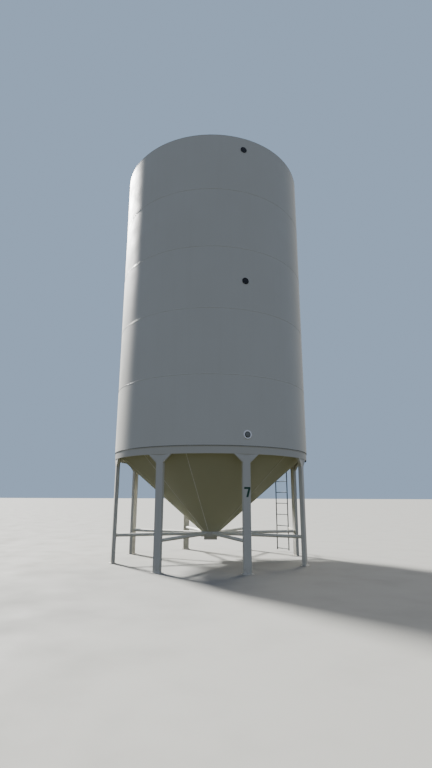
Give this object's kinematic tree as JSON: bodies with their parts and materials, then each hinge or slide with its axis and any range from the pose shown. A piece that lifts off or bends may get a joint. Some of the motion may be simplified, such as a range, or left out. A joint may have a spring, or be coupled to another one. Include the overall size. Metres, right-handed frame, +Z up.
{
  "type": "grain silo",
  "caption": "Smooth-wall steel grain silo with a cone roof and a hopper cone, raised on box-section legs, with radial pipe braces, a slide gate, a ladder and sight glasses.",
  "frame": {"origin": "on the ground at the axis of the silo, level with the underside of the foot plates", "axes": "+Z up along the axis of the silo; -Y towards the front, the side with the sight glasses; +X to the right seen from the front; the ladder is at the back right"},
  "size_m": [4.836, 4.836, 11.5543],
  "materials": {
    "white_paint": "smooth white powder coat, semi-gloss, with light dust",
    "cone_paint": "white powder coat under the bin, dusty",
    "galvanised": "dull galvanised steel",
    "gate_steel": "worn bare steel plate",
    "dark_glass": "dark clear plastic lens in a flange"
  },
  "bodies": {
    "silo": {"wall_course_1_front": "white_paint", "wall_course_1_back": "white_paint", "wall_course_2_front": "white_paint", "wall_course_2_back": "white_paint", "wall_course_3_front": "white_paint", "wall_course_3_back": "white_paint", "wall_course_4_front": "white_paint", "wall_course_4_back": "white_paint", "wall_course_5_front": "white_paint", "wall_course_5_back": "white_paint", "skirt_front": "white_paint", "skirt_back": "white_paint", "hopper_cone_front": "cone_paint", "hopper_cone_back": "cone_paint", "roof_front": "white_paint", "roof_back": "white_paint", "leg_1": "white_paint", "leg_2": "white_paint", "leg_3": "white_paint", "leg_4": "white_paint", "leg_5": "white_paint", "leg_6": "white_paint", "leg_7": "white_paint", "leg_8": "white_paint", "brace_1": "white_paint", "brace_2": "white_paint", "brace_3": "white_paint", "brace_4": "white_paint", "brace_5": "white_paint", "brace_6": "white_paint", "brace_7": "white_paint", "brace_8": "white_paint", "outlet_collar": "white_paint", "gate_frame": "white_paint", "fill_collar": "white_paint", "fill_lid": "white_paint", "hatch_neck": "white_paint", "hatch_lid": "white_paint", "wall_ladder_1": "galvanised", "wall_ladder_2": "galvanised", "wall_ladder_3": "galvanised", "ladder_stay": "white_paint", "roof_ladder": "galvanised", "sight_glass_1": "dark_glass", "sight_glass_2": "dark_glass", "sight_glass_3": "dark_glass"},
    "gate": {"gate_slide": "gate_steel"}
  },
  "joints": [
    {"name": "gate_slide_out", "type": "slide", "parent": "silo", "child": "gate", "axis": [0, 1, 0], "range_m": [0, 0.41]}
  ]
}
